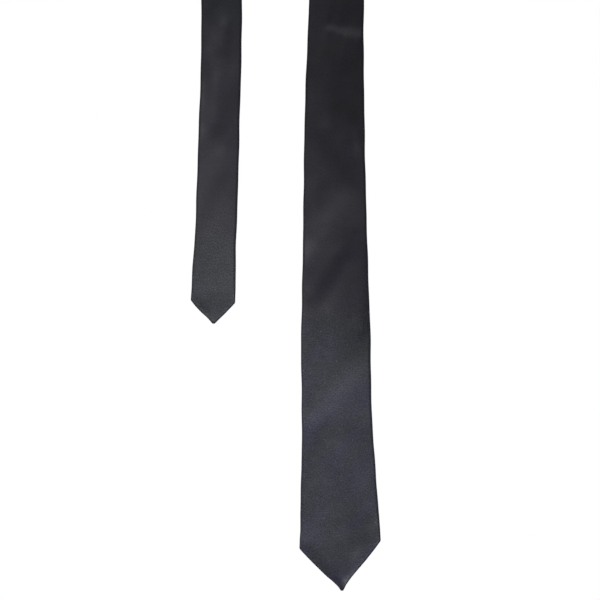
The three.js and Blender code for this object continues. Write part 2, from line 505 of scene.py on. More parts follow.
@dataclass(frozen=True)
class TieRoute:
    """The tie's middle line: up the blade's leg, round the neck and down the tail's leg."""

    length: float = 1480.0
    blade_below_tail: float = 167.0
    neck_radius: float = 60.0
    band_width: float = 25.0
    flare: float = math.radians(28.0)
    leg_spread: float = 36.0
    turn_run: float = 165.0
    half_thickness: float = 1.6
    probe: float = 0.5

    @property
    def nape_at(self) -> float:
        """The nape's place along the tie."""
        return (self.length + self.blade_below_tail) / 2

    @property
    def band_radius(self) -> float:
        """The middle line's radius round the neck, seen from above."""
        return self.neck_radius + self.band_width / 2 * math.sin(self.flare) + self.half_thickness

    @property
    def wrap_angle(self) -> float:
        """How far the band goes round the neck on each side of the nape."""
        return math.pi - math.asin(self.leg_spread / self.band_radius)

    @property
    def neck_drop(self) -> float:
        """How far the band drops from the nape to where it leaves the neck."""
        return self.band_radius * self.wrap_angle

    @property
    def neck_side(self) -> float:
        """The band's length from the nape to where it leaves the neck."""
        return self.neck_drop * math.pi / 2

    def read(self, column: str, along: Array) -> Array:
        """Reads a column of whichever end each place belongs to."""
        tail = TAIL.read(column, self.length - along)
        return np.where(along < self.nape_at, BLADE.read(column, along), tail)

    def middle(self, along: Array) -> tuple[Array, Array]:
        """Follows the middle line.

        Args:
            along: Places along the tie.

        Returns:
            The points, with a last axis of x, y and z, and the angle that the front faces in plan.
        """
        side = np.where(along < self.nape_at, BLADE.side, TAIL.side)
        from_nape = np.abs(along - self.nape_at)
        slope = math.pi / 2 * np.minimum(from_nape / self.neck_side, 1.0)
        around = self.wrap_angle * np.sin(slope)
        hang = np.maximum(from_nape - self.neck_side, 0.0)
        facing = around + (math.pi - self.wrap_angle) * smoothly(hang / self.turn_run)
        x = side * self.band_radius * np.sin(around) + self.read("shift", along)
        y = self.band_radius * np.cos(around) + self.read("depth", along)
        z = -self.neck_drop * (1 - np.cos(slope)) - hang
        return np.stack([x, y, z], axis=-1), side * facing - np.radians(self.read("turn", along))

    def directions(self, along: Array) -> tuple[Array, Array, Array]:
        """Gives the middle line's points and its own directions.

        Args:
            along: Places along the tie.

        Returns:
            The points, the unit vectors out of the front, and those across the tie.
        """
        tangent = self.middle(along + self.probe)[0] - self.middle(along - self.probe)[0]
        tangent /= np.linalg.norm(tangent, axis=-1, keepdims=True)
        points, facing = self.middle(along)
        level = math.cos(self.flare)
        lift = np.full_like(facing, math.sin(self.flare))
        front = np.stack([level * np.sin(facing), level * np.cos(facing), lift], axis=-1)
        front -= tangent * np.sum(front * tangent, axis=-1, keepdims=True)
        front /= np.linalg.norm(front, axis=-1, keepdims=True)
        return points, front, np.cross(tangent, front)


@dataclass(frozen=True)
class FoldedCloth:
    """The pressed fold: a front, two rolled edges, and two flaps that are sewn together on the back."""

    route: TieRoute
    # the cloth, its rolled edges and the gentle crown between them
    half_cloth: float = 0.36
    cloth_share: float = 0.22
    fold_radius: float = 1.24
    point_radius: float = 0.6
    fold_share: float = 0.3
    press_run: float = 12.0
    crown: float = 0.3
    full_crown_at: float = 10.0
    # the two flaps on the back: how they lap, their hems, and the over flap's turned-in edge
    over_lap: float = 0.6
    under_lap: float = 5.5
    under_sink: float = 0.86
    sink_start: float = 8.0
    sink_end: float = 2.5
    least_flap: float = 0.12
    hem_share: float = 0.85
    hem_run: float = 3.5
    turn_in: float = 8.0
    turn_in_run: float = 1.5
    turn_in_step: float = 0.12
    # the edges of the hemmed point, and the dents where its hem is caught
    flare_reach: float = 4.0
    sink_share: float = 0.75
    sink_above: float = 5.0
    sink_fade: float = 8.0
    nose_reach: float = 14.0
    nose_half: float = 2.0
    point_slope: float = 0.72
    dimple_pitch: float = 4.6
    dimple_inset: float = 2.1
    dimple_depth: float = 0.11
    dimple_radius: float = 0.6
    dimple_start: float = 4.0
    dimple_stop: float = 1.0
    # the slanting joint seams
    seam_slant: float = 1.0
    seam_run: float = 70.0
    seams: tuple[float, float] = (760.0, 1045.0)
    # two soft waves round the neck
    slow_wave: float = 0.22
    quick_wave: float = 0.16
    wave_along: tuple[float, float, float] = (31.0, 74.0, 17.3)
    wave_across: tuple[float, float] = (23.0, 11.0)
    wave_phase: tuple[float, float] = (0.7, 1.9)
    wave_fade: float = 60.0
    # how finely a section is meshed, down to the rounded lip of each flap
    front_columns: int = 21
    fold_columns: int = 7
    flap_columns: int = 11
    edge_crowding: float = 1.35
    lip: float = 0.36
    lip_columns: tuple[float, ...] = (0.7, 0.35, 0.12, 0.0)
    lip_flat: float = 0.06

    def ends(self, along: Array) -> tuple[Array, Array]:
        """Whether each place is on the blade's side, and its distance from that end's point."""
        on_blade = along < self.route.nape_at
        return on_blade, np.where(on_blade, along, self.route.length - along)

    def size_of(self, name: str, along: Array, flap: Flap | None = None) -> Array:
        """One of the two ends' sizes for each place.

        Args:
            name: The size's name.
            along: Places along the tie.
            flap: Whose side is meant, where the size is a pair.

        Returns:
            The size at each place.
        """
        sizes = [getattr(end, name) for end in ENDS]
        if flap is not None:
            sizes = [pair[flap.which] for pair in sizes]
        return np.where(along < self.route.nape_at, *sizes)

    def half(self, along: Array, flap: Flap) -> Array:
        """The distance from the middle line to the edge on one flap's side."""
        on_blade, from_point = self.ends(along)
        return np.where(on_blade, *[end.half(from_point, flap) for end in ENDS])

    def mean_half(self, along: Array) -> Array:
        """Half of the tie's width."""
        return (self.half(along, Flap.UNDER) + self.half(along, Flap.OVER)) / 2

    def pressed(self, along: Array) -> Array:
        """How far the layers are pressed together, from 1 at the hemmed point to 0 above its corners."""
        above_corner = self.ends(along)[1] - self.size_of("corner", along, Flap.OVER)
        return 1 - smoothly(above_corner / self.press_run)

    def radius(self, along: Array) -> Array:
        """The folds' radius, smaller at the pressed point and where it narrows to its nose."""
        full = self.fold_radius + (self.point_radius - self.fold_radius) * self.pressed(along)
        return np.minimum(full, self.fold_share * self.mean_half(along))

    def local_crown(self, along: Array) -> Array:
        """How far the middle of the front stands proud of its edges."""
        return self.crown * np.minimum(self.mean_half(along) / self.full_crown_at, 1.0)

    def level(self, along: Array) -> Array:
        """How far a section moves out, so that the front stays level where the tie gets thinner."""
        return self.fold_radius + self.crown - self.radius(along) - self.local_crown(along)

    def half_thickness(self, along: Array) -> Array:
        """Half of the cloth's thickness, thinner where the point narrows to its nose."""
        return np.minimum(self.half_cloth, self.cloth_share * self.mean_half(along))

    def slant(self, along: Array) -> Array:
        """How far the sections lean at the joint seams, as a share of the distance across the flat cloth."""
        seam_distance = np.min([np.abs(along - seam) for seam in self.seams], axis=0)
        return self.seam_slant * np.maximum(1 - seam_distance / self.seam_run, 0.0)

    def flap_edge(self, along: Array, flap: Flap) -> Array:
        """How far from the middle a flap's edge lies, below 0 where it passes the middle.

        Args:
            along: Places along the tie.
            flap: Which of the two flaps.

        Returns:
            The edge's distance from the middle on its own side.
        """
        on_blade, from_point = self.ends(along)
        half = self.half(along, flap)
        flat_half = half - self.radius(along) - self.half_thickness(along)
        lap = self.over_lap if flap is Flap.OVER else self.under_lap
        tack = self.size_of("tack", along)
        corner = self.size_of("corner", along, flap)
        hem = self.size_of("hem", along)
        widest = np.where(on_blade, *[end.half(end.widest_at, flap) for end in ENDS])
        share = np.clip((tack - from_point) / (tack - corner), 0.0, 1.0)
        upper = -lap + (widest - hem + lap) * share
        lower = np.maximum(half - hem, self.least_flap * flat_half)
        return np.where(from_point < corner, lower, np.minimum(upper, half - hem))

    def open_share(self, along: Array) -> Array:
        """How far the back has opened, from 0 at the bar tack to 1 at the point's corners."""
        tack, corner = self.size_of("tack", along), self.size_of("corner", along, Flap.OVER)
        return smoothly((tack - self.ends(along)[1]) / (tack - corner))

    def flap_height(self, v: Array, along: Array, flap: Flap) -> Array:
        """Where a flap's middle lies, out of the front. At the hemmed point it moves as the front does.

        Args:
            v: Distances from the middle on the flap's own side.
            along: Places along the tie.
            flap: Which flap.

        Returns:
            The height at each place, below 0 on the back.
        """
        radius = self.radius(along)
        cloth = self.half_thickness(along)
        scale = radius / self.fold_radius
        opened = self.open_share(along)
        inwards = self.half(along, flap) - radius - cloth - v
        room = 2 * (radius - cloth)
        hemmed = self.hem_share * room * smoothly(inwards / (self.hem_run * scale)) * opened
        if flap is Flap.UNDER:
            closed = self.under_sink * smoothly((self.sink_start - v) / (self.sink_start - self.sink_end))
        else:
            closed = self.turn_in_step * smoothly((v - self.turn_in) / self.turn_in_run + 0.5)
        caught = self.pressed(along) * self.front_height(flap.value * v, along)
        return self.level(along) - radius + hemmed + scale * closed * (1 - opened) + caught

    def near_nose(self, name: str, along: Array, flap: Flap) -> Array:
        """One of an edge's sizes, eased from its value at the nose to its own further up."""
        nose, own = self.size_of("nose_" + name, along, flap), self.size_of(name, along, flap)
        return nose + (own - nose) * smoothly(self.ends(along)[1] / self.nose_reach)

    def front_height(self, v: Array, along: Array) -> Array:
        """How far the front stands out of the plain fold: its soft folds and its hemmed point.

        Args:
            v: Places across, above 0 on the over flap's side.
            along: Places along the tie.

        Returns:
            The lift at each place.
        """
        on_blade, from_point = self.ends(along)
        lift = np.where(on_blade, *[end.folded(v, from_point) for end in ENDS])
        full_reach = self.size_of("sink_reach", along)
        turns = from_point / (self.dimple_pitch * self.point_slope)
        off_pitch = (turns - np.round(turns)) * self.dimple_pitch
        for flap in Flap:
            half = self.half(along, flap)
            inward = (half - flap.value * v) * self.point_slope
            corner = self.size_of("corner", along, flap)
            fade = smoothly((corner + self.sink_above - from_point) / self.sink_fade)
            near = fade * np.minimum(half / self.nose_half, 1.0)
            reach = np.minimum(full_reach, self.sink_share * half)
            sunk = smoothly(1 - inward / reach) * reach / full_reach
            flared = np.clip(1 - inward / self.flare_reach, 0.0, 1.0) ** 2
            lift = lift - self.near_nose("sink", along, flap) * sunk * near
            lift = lift + self.near_nose("flare", along, flap) * flared * near
            off_row = inward - self.dimple_inset
            dent = np.exp(-(off_pitch**2 + off_row**2) / self.dimple_radius**2)
            stitched = (from_point > self.dimple_start) & (from_point < corner - self.dimple_stop)
            lift = lift - self.dimple_depth * dent * stitched
        return lift

    def half_section(self, along: Array, flap: Flap) -> dict[str, Array]:
        """Lays out one half of the folded section, from the middle of the front to the flap's edge.

        Args:
            along: Places along the tie, one for each section.
            flap: Which flap this half ends in.

        Returns:
            Arrays of sections by columns: v across, n out of the front, tilt, flat and half cloth.
        """
        along = along[:, None]
        half = self.half(along, flap)
        radius = self.radius(along)
        cloth = self.half_thickness(along)
        flat_half = half - radius - cloth
        even = np.linspace(0.0, 1.0, self.front_columns)[None, :]
        front = (1 - (1 - even) ** self.edge_crowding) * np.ones_like(half)
        tilt = np.linspace(0.0, math.pi, self.fold_columns + 1)[None, 1:] * np.ones_like(half)
        reach = flat_half - self.flap_edge(along, flap)
        steps = np.linspace(0.0, 1.0, self.flap_columns + 1)[None, 1:-1]
        last = np.array(self.lip_columns)[None, :] * self.lip
        in_flap = side_by_side((reach - self.lip) * steps, reach - np.minimum(last, reach))
        from_edge = np.clip((reach - in_flap) / self.lip, 0.0, 1.0)
        rounded = np.sqrt(np.clip(1 - (1 - from_edge) ** 2, self.lip_flat, 1.0))
        v_flap = flat_half - in_flap
        v = side_by_side(flat_half * front, flat_half + radius * np.sin(tilt), v_flap)
        crowned = radius + self.local_crown(along) * (1 - front**2)
        plain = self.level(along) + side_by_side(crowned, radius * np.cos(tilt))
        facing = side_by_side(np.ones_like(front), np.maximum(np.cos(tilt), 0.0))
        facing = facing + self.pressed(along) * (1 - facing)
        fronts = plain + facing * self.front_height(v[:, : plain.shape[1]] * flap.value, along)
        from_fold = flat_half + radius * tilt
        return {
            "v": v,
            "n": side_by_side(fronts, self.flap_height(v_flap, along, flap)),
            "tilt": side_by_side(np.zeros_like(front), tilt, np.full_like(v_flap, math.pi)),
            "flat": side_by_side(flat_half * front, from_fold, from_fold[:, -1:] + in_flap),
            "cloth": cloth * side_by_side(np.ones_like(plain), rounded),
        }

    def section(self, along: Array) -> dict[str, Array]:
        """Lays out whole sections, from the under flap's edge round the front to the over flap's edge.

        Args:
            along: Places along the tie, one for each section.

        Returns:
            The same arrays as for half a section.
        """
        under = self.half_section(along, Flap.UNDER)
        over = self.half_section(along, Flap.OVER)
        signs = {"v": -1.0, "tilt": -1.0, "flat": -1.0, "n": 1.0, "cloth": 1.0}
        return {key: side_by_side(sign * under[key][:, :0:-1], over[key]) for key, sign in signs.items()}

    def relief(self, v: Array, along: Array) -> Array:
        """How far both layers stand out of the plain route: the ends' swells, and soft waves round the neck.

        Args:
            v: Places across.
            along: Places along the tie.

        Returns:
            The lift at each place.
        """
        on_blade, from_point = self.ends(along)
        hang = np.where(on_blade, *[end.swell(v, from_point) for end in ENDS])
        first, second, third = self.wave_along
        broad, narrow = self.wave_across
        early, late = self.wave_phase
        slow = self.slow_wave * np.sin(along / first + early) * np.sin(v / broad + along / second)
        quick = self.quick_wave * np.sin(along / third - v / narrow + late)
        start = np.where(on_blade, *[end.swells[-1].at - self.wave_fade for end in ENDS])
        return hang + (slow + quick) * smoothly((from_point - start) / self.wave_fade)

    def place(self, along: Array, v: Array, n: Array) -> tuple[Array, Array, Array]:
        """Turns places on the tie into points.

        Args:
            along: Places along the tie.
            v: Distances across it.
            n: Distances out of its front.

        Returns:
            The points, and the unit vectors out of the front and across.
        """
        points, front, across = self.route.directions(along)
        lift = n + self.relief(v, along)
        return points + across * v[..., None] + front * lift[..., None], front, across

    def back_line(self, along: Array, v: Array) -> Line:
        """A line on the back's outer surface.

        Args:
            along: Places along the tie.
            v: Places across, above 0 on the over flap's side.

        Returns:
            The line's points and the directions out of the cloth there.
        """
        over = self.flap_height(v, along, Flap.OVER)
        under = self.flap_height(-v, along, Flap.UNDER)
        n = np.where(v > -self.over_lap, over, under) - self.half_thickness(along)
        points, front, _ = self.place(along, v, n)
        return points, -front


@dataclass(frozen=True)
class BiasSatin:
    """Piece-dyed satin, woven in fine threads and cut at 45 degrees: smooth, with a soft broad sheen.

    Its dyed colour drifts between a greener and a redder grey, with slanting patches of the blue grey.
    Towards both points it looks greener and its thread grain shows more, partly painted glints where the
    lamps' pools fall. The blade's lower part is painted bluest, a painted tint of the light that falls there.
    A few flecks of lint lie on it.
    """

    name: str = "bias_satin"
    # the dye's greys, and how they drift
    green_grey: str = "#272a2f"
    red_grey: str = "#2c2a33"
    blue_grey: str = "#292a3a"
    drift: float = 42.0
    drift_seed: float = 6.37
    green_range: tuple[float, float] = (0.44, 0.22)
    green_low_down: float = 0.72
    patch: float = 14.0
    patch_length: float = 32.0
    patch_seed: float = 12.61
    patch_range: tuple[float, float] = (0.34, 0.66)
    patch_share: float = 0.45
    # painted light: towards the blade's point the cloth is tinted to the blue grey, a painted tint of the
    # light that falls there
    painted_light_blue_from: float = 162.0
    painted_light_blue_to: float = 128.0
    painted_light_blue_share: float = 0.52
    # the weave: real threads lie 0.15 mm apart, and are drawn coarser so that they show
    thread: float = 0.55
    thread_run: float = 2.0
    thread_share: float = 0.5
    speckle: float = 0.85
    mottle: float = 5.0
    mottle_roughness: float = 0.6
    mottle_share: float = 0.4
    contrast: float = 2.0
    bias: tuple[float, float, float] = (0.0, 0.0, math.radians(-45))
    ridge: float = 1.2
    ridge_stray: float = 0.75
    bump: float = 0.042
    # how calm the grain is above both points, and where each point's livelier part starts; the livelier tone
    # there is partly real grain, partly painted thread glints where the lamps' pools fall
    calm: float = 0.45
    blade_low: tuple[float, float] = (200.0, 160.0)
    tail_low: tuple[float, float] = (1390.0, 1440.0)
    # the lint, and the finish
    lint: float = 1.1
    lint_range: tuple[float, float] = (0.8, 0.84)
    lint_share: float = 0.3
    lint_colour: str = "#85858f"
    roughness: float = 0.45
    sheen: float = 0.1
    sheen_roughness: float = 0.45

    def material(self) -> Material:
        """Builds the material.

        Returns:
            The material, which reads the place on the opened cloth.
        """
        material, tree = new_material(self.name)
        add = partial(add_node, tree)
        cloth = add("ShaderNodeAttribute", attribute_name=CLOTH_MAP).outputs["Vector"]
        along = add("ShaderNodeSeparateXYZ", {"Vector": cloth}).outputs["Y"]
        low_down = self.low_down(tree, along)
        uneven, height, lint = self.weave(tree, cloth, low_down)
        dyed = self.dye_and_painted_tint(tree, cloth, along, low_down)
        tone = add("ShaderNodeMath", {0: uneven, 1: self.contrast, 2: 1.0}, operation="MULTIPLY_ADD")
        woven = add("ShaderNodeVectorMath", {0: dyed, 1: tone}, operation="MULTIPLY")
        linted = add("ShaderNodeMix", {0: lint, 6: woven, 7: linear_rgba(self.lint_colour)}, data_type="RGBA")
        finish = {
            "Base Color": linted.outputs[2],
            "Roughness": self.roughness,
            "Sheen Weight": self.sheen,
            "Sheen Roughness": self.sheen_roughness,
            "Normal": add("ShaderNodeBump", {"Distance": self.bump * MM, "Height": height}),
        }
        shader = add("ShaderNodeBsdfPrincipled", finish)
        add("ShaderNodeOutputMaterial", {"Surface": shader})
        return material

    def low_down(self, tree: Tree, along: Socket) -> Node:
        """Makes the share that rises from 0 to 1 towards both points.

        Args:
            tree: The material's tree.
            along: The distance along the cloth.

        Returns:
            The node that gives the share.
        """
        shares = []
        for start, stop in (self.blade_low, self.tail_low):
            span = {"Value": along, "From Min": start * MM, "From Max": stop * MM}
            shares.append(add_node(tree, "ShaderNodeMapRange", span, interpolation_type="SMOOTHSTEP"))
        return add_node(tree, "ShaderNodeMath", dict(enumerate(shares)), operation="MAXIMUM")

    def on_bias(self, tree: Tree, cloth: Socket, wide: float, long: float, seed: float = 0.0) -> Node:
        """Turns the cloth's places to the threads' slant.

        Args:
            tree: The material's tree.
            cloth: The place on the opened cloth.
            wide: The pattern's width across the threads.
            long: Its length along them.
            seed: Which slice of the pattern is used.

        Returns:
            The node that gives the turned places, in widths and lengths.
        """
        turned = {"Vector": cloth, "Location": (0.0, 0.0, seed), "Rotation": self.bias}
        turned["Scale"] = (wide * MM, long * MM, 1.0)
        return add_node(tree, "ShaderNodeMapping", turned, vector_type="TEXTURE")

    def dye_and_painted_tint(self, tree: Tree, cloth: Socket, along: Socket, low_down: Node) -> Socket:
        """Mixes the three dyed greys in broad patches, and adds a painted blue tint of the light on the lower
        blade.

        Args:
            tree: The material's tree.
            cloth: The place on the opened cloth.
            along: The distance along it.
            low_down: The share that rises to 1 towards both points.

        Returns:
            The colour.
        """
        add = partial(add_node, tree)
        broad = add("ShaderNodeMapping", {"Vector": cloth, "Location": (0.0, 0.0, self.drift_seed)})
        drifting = add("ShaderNodeTexNoise", {"Vector": broad, "Scale": 1 / (self.drift * MM), "Detail": 1.0})
        low, high = self.green_range
        greener = add("ShaderNodeMapRange", {"Value": drifting, "From Min": low, "From Max": high})
        greenest = add("ShaderNodeMix", {0: low_down, 2: greener, 3: self.green_low_down}, data_type="FLOAT")
        red_to_green = {0: greenest, 6: linear_rgba(self.red_grey), 7: linear_rgba(self.green_grey)}
        greys = add("ShaderNodeMix", red_to_green, data_type="RGBA")
        slanting = self.on_bias(tree, cloth, self.patch, self.patch_length, self.patch_seed)
        cloudy = add("ShaderNodeTexNoise", {"Vector": slanting, "Scale": 1.0, "Detail": 2.0})
        low, high = self.patch_range
        clouds = {"Value": cloudy, "From Min": low, "From Max": high}
        clouds |= {"To Min": -self.patch_share, "To Max": self.patch_share}
        patches = add("ShaderNodeMapRange", clouds)
        # painted light: a blue tint that grows towards the blade's point, standing in for the light that
        # falls there
        span = {"Value": along, "From Min": self.painted_light_blue_from * MM, "From Max": self.painted_light_blue_to * MM}
        painted_light_blue = add("ShaderNodeMapRange", span | {"To Max": self.painted_light_blue_share}, interpolation_type="SMOOTHSTEP")
        bluest = add("ShaderNodeMath", {0: patches, 1: painted_light_blue}, operation="ADD", use_clamp=True)
        grey_to_blue = {0: bluest, 6: greys.outputs[2], 7: linear_rgba(self.blue_grey)}
        return add("ShaderNodeMix", grey_to_blue, data_type="RGBA").outputs[2]

    def weave(self, tree: Tree, cloth: Socket, low_down: Node) -> list[Node]:
        """Makes the threads' uneven tone and height, and the few flecks of lint.

        Args:
            tree: The material's tree.
            cloth: The place on the opened cloth.
            low_down: The share that rises to 1 towards both points.

        Returns:
            The nodes that give the tone, around 0, the height of the threads, and the share of lint.
        """
        add = partial(add_node, tree)
        threads = self.on_bias(tree, cloth, self.thread, self.thread_run)
        floats = add("ShaderNodeTexNoise", {"Vector": threads, "Scale": 1.0, "Detail": 1.0})
        fine = {"Vector": cloth, "Scale": 1 / (self.speckle * MM), "Detail": 1.0}
        speckle = add("ShaderNodeTexNoise", fine)
        coarse = {"Vector": cloth, "Scale": 1 / (self.mottle * MM), "Detail": 2.0}
        mottle = add("ShaderNodeTexNoise", coarse | {"Roughness": self.mottle_roughness})
        two = add("ShaderNodeMath", {0: floats, 1: self.thread_share, 2: speckle}, operation="MULTIPLY_ADD")
        three = add("ShaderNodeMath", {0: mottle, 1: self.mottle_share, 2: two}, operation="MULTIPLY_ADD")
        middle = (self.thread_share + 1 + self.mottle_share) / 2
        uneven = add("ShaderNodeMath", {0: three, 1: middle}, operation="SUBTRACT")
        cells = {"Vector": threads, "Scale": 1.0, "Randomness": self.ridge_stray}
        ridges = add("ShaderNodeTexVoronoi", cells, voronoi_dimensions="2D")
        raised = add("ShaderNodeMath", {0: ridges, 1: -self.ridge, 2: uneven}, operation="MULTIPLY_ADD")
        specks = add("ShaderNodeTexNoise", {"Vector": cloth, "Scale": 1 / (self.lint * MM), "Detail": 0.0})
        low, high = self.lint_range
        few = {"Value": specks, "From Min": low, "From Max": high, "To Max": self.lint_share}
        flecks = add("ShaderNodeMapRange", few)
        # partly painted glints: the grain's tone is stronger towards both points, where the lamps' pools
        # fall; the thread bumps and the lint follow the same share
        lively = add("ShaderNodeMapRange", {"Value": low_down, "To Min": self.calm})
        shown = (uneven, raised, flecks)
        return [add("ShaderNodeMath", {0: value, 1: lively}, operation="MULTIPLY") for value in shown]


@dataclass(frozen=True)
class SewingThread:
    """Spun polyester sewing thread, dyed to match: a little lighter than the cloth, and dull."""

    name: str = "sewing_thread"
    colour: str = "#3d3d44"
    ply: float = 0.25
    uneven: float = 0.25
    roughness: float = 0.7
    sheen: float = 0.3

    def material(self) -> Material:
        """Builds the material.

        Returns:
            The material, whose plies are a shade lighter and darker by turns.
        """
        material, tree = new_material(self.name)
        add = partial(add_node, tree)
        place = add("ShaderNodeTexCoord").outputs["Object"]
        plies = add("ShaderNodeTexNoise", {"Vector": place, "Scale": 1 / (self.ply * MM), "Detail": 1.0})
        shades = {"Value": plies, "To Min": 1 - self.uneven, "To Max": 1 + self.uneven}
        tone = add("ShaderNodeMapRange", shades)
        colour = add("ShaderNodeVectorMath", {0: linear_rgba(self.colour)[:3], 1: tone}, operation="MULTIPLY")
        finish = {"Base Color": colour, "Roughness": self.roughness, "Sheen Weight": self.sheen}
        shader = add("ShaderNodeBsdfPrincipled", finish)
        add("ShaderNodeOutputMaterial", {"Surface": shader})
        return material


@dataclass
class Panel:
    """One cut panel of the tie, as a folded sheet with the cloth's two faces."""

    name: str
    start: float
    stop: float
    cloth: FoldedCloth
    # how far apart its sections lie
    nose_until: float = 1.5
    point_until: float = 45.0
    point_step: float = 0.8
    front_until: float = 378.0
    front_step: float = 1.15
    step: float = 2.6
    least_step: float = 0.1
    seam_until: float = 3.0
    seam_step: float = 0.25
    # the joint seams, where the cloth dips inwards
    seam_gap: float = 0.04
    seam_dip: float = 0.55
    seam_reach: float = 0.9

    def step_at(self, here: float) -> float:
        """How far the next section lies from this one.

        Args:
            here: A place along the tie.

        Returns:
            A short step at the nose and the seams, longer ones on the point and the front, then a wide one.
        """
        from_point = min(here, self.cloth.route.length - here)
        from_seam = min(abs(here - seam) for seam in self.cloth.seams)
        if from_seam < self.seam_until or from_point < self.nose_until:
            return self.seam_step
        if from_point < self.point_until:
            return self.point_step
        return self.front_step if from_point < self.front_until else self.step

    def places(self) -> Array:
        """Sets out the panel's sections.

        Returns:
            Their places along the tie, from the panel's start to its stop.
        """
        marks = [self.start]
        while marks[-1] < self.stop - self.least_step:
            marks.append(marks[-1] + self.step_at(marks[-1]))
        return np.array(marks[:-1] + [self.stop])

    def crease(self, along: Array) -> Array:
        """How far the cloth dips inwards at a seam, where its allowance is pressed open inside."""
        dips = [np.exp(-np.abs(along - seam) / self.seam_reach) for seam in self.cloth.seams]
        return self.seam_dip * np.max(dips, axis=0)

    def skins(self) -> tuple[Array, Array, Array]:
        """Works out the two skins.

        Returns:
            The outer and the inner points in millimetres, and the cloth places, as sections by columns.
        """
        along = self.places()
        section = self.cloth.section(along)
        leaned = along[:, None] + self.cloth.slant(along)[:, None] * section["flat"]
        tilt = section["tilt"]
        dip = self.crease(along)[:, None]
        n = section["n"] - dip * np.cos(tilt)
        v = section["v"] - dip * np.sin(tilt)
        middle, front, across = self.cloth.place(leaned, v, n)
        outward = front * np.cos(tilt)[..., None] + across * np.sin(tilt)[..., None]
        thick = section["cloth"][..., None]
        place = np.stack([section["flat"], leaned, np.zeros_like(leaned)], axis=-1)
        return middle + outward * thick, middle - outward * thick, place

    def build(self) -> bpy.types.Object:
        """Builds the panel's closed mesh.

        Returns:
            The panel, with its place in its mesh and its cloth places as an attribute.
        """
        outer, inner, place = self.skins()
        index = np.arange(outer[..., 0].size).reshape(outer.shape[:2])
        back = index + index.size
        walls = (
            (self.quads(index), Skin.FACE),
            (self.quads(back)[:, ::-1], Skin.WRONG_SIDE),
            (self.strip(index[:, 0], back[:, 0]), Skin.FACE),
            (self.strip(back[:, -1], index[:, -1]), Skin.FACE),
            (self.strip(back[0], index[0]), Skin.FACE),
            (self.strip(index[-1], back[-1]), Skin.FACE),
        )
        skins = [np.full(len(faces), skin, dtype=np.int32) for faces, skin in walls]
        mesh = bpy.data.meshes.new(self.name)
        points = np.concatenate([outer.reshape(-1, 3), inner.reshape(-1, 3)]) * MM
        mesh.from_pydata(points.tolist(), [], np.concatenate([faces for faces, _ in walls]).tolist())
        mesh.polygons.foreach_set("material_index", np.concatenate(skins))
        mesh.shade_smooth()
        keep_vectors(mesh, CLOTH_MAP, np.tile(place.reshape(-1, 3), (2, 1)) * MM)
        mesh.update()
        return new_object(self.name, mesh)

    @staticmethod
    def quads(index: Array) -> Array:
        """Faces over a grid of point numbers, facing away from the cloth's middle."""
        corners = [index[:-1, :-1], index[:-1, 1:], index[1:, 1:], index[1:, :-1]]
        return np.stack([c.ravel() for c in corners], axis=1)

    @staticmethod
    def strip(left: Array, right: Array) -> Array:
        """Faces of the narrow wall between two rows of point numbers."""
        return np.stack([left[:-1], left[1:], right[1:], right[:-1]], axis=1)

    def flat_size(self) -> tuple[float, float, float]:
        """Measures the panel as it is cut.

        Returns:
            Its greatest width and length and its area, in metres and square metres.
        """
        flat, along = np.moveaxis(self.skins()[2][..., :2], -1, 0)
        a = np.stack([flat[1:, 1:] - flat[:-1, :-1], along[1:, 1:] - along[:-1, :-1]])
        b = np.stack([flat[1:, :-1] - flat[:-1, 1:], along[1:, :-1] - along[:-1, 1:]])
        area = np.abs(a[0] * b[1] - a[1] * b[0]).sum() / 2
        return np.ptp(flat) * MM, np.ptp(along) * MM, area * MM * MM

    def dress(self, panel: bpy.types.Object, face: Material, wrong_side: Material) -> None:
        """Gives the panel's two faces their finishes."""
        panel.data.materials.append(face)
        panel.data.materials.append(wrong_side)


